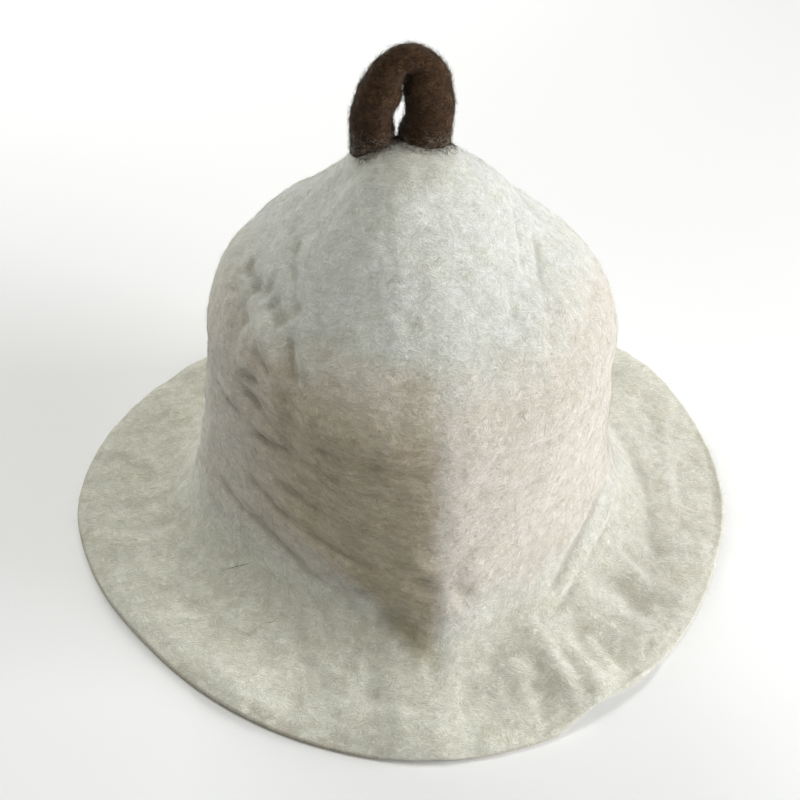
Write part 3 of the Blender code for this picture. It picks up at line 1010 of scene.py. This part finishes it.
outer, inner = felt_faces()
outer += SOLID_SHIFT
inner += SOLID_SHIFT
wall = closed_wall(outer, inner)
white = felt("white_wool", white_paint, sheen=0.25, bump_strength=0.45)
brown = felt("brown_wool", brown_paint, sheen=0.10, bump_strength=0.6)
body = mesh_piece("hat_felt", wall, white, "felt_body")
# How deep each point lies in a hollow, for the painted shade in the hollows
hollows = np.zeros(len(wall[0]))
hollows[1 : COLUMNS * OUTER_ROWS + 1] = hollow_values(outer).ravel()
body.data.attributes.new("hollow", "FLOAT", "POINT").data.foreach_set("value", hollows)
ground = BVHTree.FromPolygons([tuple(v) for v in wall[0]], wall[1])
rope = rope_rings(LOOP_STATIONS, LOOP_SIDES)
rope = np.array([
    *leg_rings(foot_rings(rope[0], ground)[1][-1], rope[0]),
    *rope,
    *leg_rings(foot_rings(rope[-1], ground)[1][-1], rope[-1])[::-1],
])
rope = swollen(rope)
mesh_piece("loop_felt", loop_shape(rope, ground), brown, "hanging_loop")

for row in BODY_FUZZ:
    fuzz_piece(row, outer, outward(outer), white, "felt_body")
rope_out = unit(rope - rope.mean(axis=1, keepdims=True))
fuzz_piece(LOOP_FUZZ, rope, rope_out, brown, "hanging_loop")
legs = (slice(0, PALE_FOOT_RINGS), slice(-PALE_FOOT_RINGS, None))
for row, leg in zip(FOOT_FUZZ, legs):
    fuzz_piece(row, rope[leg], rope_out[leg], white, "felt_body", low_down)
top, top_out = outer[:APEX_ROWS], outward(outer)[:APEX_ROWS]
fuzz_piece(SEAT_FUZZ, top, top_out, brown, "hanging_loop", round_the_feet)
mesh_piece("stray_hairs", stray_shape(ground), brown, "felt_body")


# Floor, light and camera

Lamp = namedtuple("Lamp", "name azimuth elevation size watts red green blue")
LAMPS = (
    Lamp("window", 79, 13, 0.6, 15.2, 0.99, 1.00, 1.02),
    Lamp("side", 55, 30, 0.7, 4.7, 1.00, 1.00, 1.00),
    Lamp("ceiling", 275, 73, 0.7, 7.8, 0.98, 1.00, 0.95),
    Lamp("behind", 200, 15, 0.7, 12.6, 1.00, 1.00, 0.98),
)
LAMP_DISTANCE = 1.3
LAMP_TARGET_HEIGHT = 0.09
FLOOR_SIZE = 12
FLOOR_HEIGHT = -0.0002
FLOOR_GREY = 0.9
FLOOR_GLOW = 0.05
WORLD_GLOW = 0.03


def studio():
    """Pale floor and soft light from the right and from all round."""
    bpy.ops.mesh.primitive_plane_add(size=FLOOR_SIZE, location=(0, 0, FLOOR_HEIGHT))
    floor = bpy.context.object
    floor.name = "floor"
    paper = bpy.data.materials.new("paper")
    paper.use_nodes = True
    shader = paper.node_tree.nodes["Principled BSDF"]
    shader.inputs["Base Color"].default_value = (FLOOR_GREY, FLOOR_GREY, FLOOR_GREY, 1)
    shader.inputs["Roughness"].default_value = 1.0
    shader.inputs["Specular IOR Level"].default_value = 0.0
    shader.inputs["Emission Color"].default_value = (1, 1, 1, 1)
    shader.inputs["Emission Strength"].default_value = FLOOR_GLOW
    floor.data.materials.append(paper)
    world = bpy.data.worlds.new("studio")
    world.use_nodes = True
    background = world.node_tree.nodes["Background"]
    background.inputs["Color"].default_value = (1.0, 1.0, 1.0, 1)
    background.inputs["Strength"].default_value = WORLD_GLOW
    bpy.context.scene.world = world
    for lamp in LAMPS:
        soft_light(lamp)


def soft_light(row):
    """A square area light that looks at the hat from an azimuth and elevation."""
    turn, tilt = math.radians(row.azimuth), math.radians(row.elevation)
    offset = Vector(
        (math.sin(turn) * math.cos(tilt), -math.cos(turn) * math.cos(tilt), math.sin(tilt))
    )
    data = bpy.data.lights.new(row.name, "AREA")
    data.size = row.size
    data.energy = row.watts
    data.color = (row.red, row.green, row.blue)
    lamp = bpy.data.objects.new(row.name, data)
    bpy.context.collection.objects.link(lamp)
    lamp.location = Vector((0, 0, LAMP_TARGET_HEIGHT)) + offset * LAMP_DISTANCE
    lamp.rotation_euler = (-offset).to_track_quat("-Z", "Y").to_euler()


CAMERA_DISTANCE = 0.90
CAMERA_ELEVATION = 40.0
CAMERA_TARGET_HEIGHT = 0.09

# The view looks a little below the target and to one side of it, in degrees.
CAMERA_DIP = 0.72
CAMERA_TURN = 0.07

LENS = 87.15
SENSOR_WIDTH = 36


def camera():
    """A camera in front of the hat that looks down on it."""
    tilt = math.radians(CAMERA_ELEVATION)
    data = bpy.data.cameras.new("camera")
    data.lens = LENS
    data.sensor_width = SENSOR_WIDTH
    made = bpy.data.objects.new("camera", data)
    bpy.context.collection.objects.link(made)
    made.location = (
        SOLID_SHIFT[0],
        SOLID_SHIFT[1] - CAMERA_DISTANCE * math.cos(tilt),
        CAMERA_TARGET_HEIGHT + CAMERA_DISTANCE * math.sin(tilt),
    )
    made.rotation_euler = (
        math.radians(90 - CAMERA_ELEVATION - CAMERA_DIP),
        0,
        math.radians(CAMERA_TURN),
    )
    bpy.context.scene.camera = made


studio()
camera()
bpy.context.scene.view_settings.view_transform = "Standard"
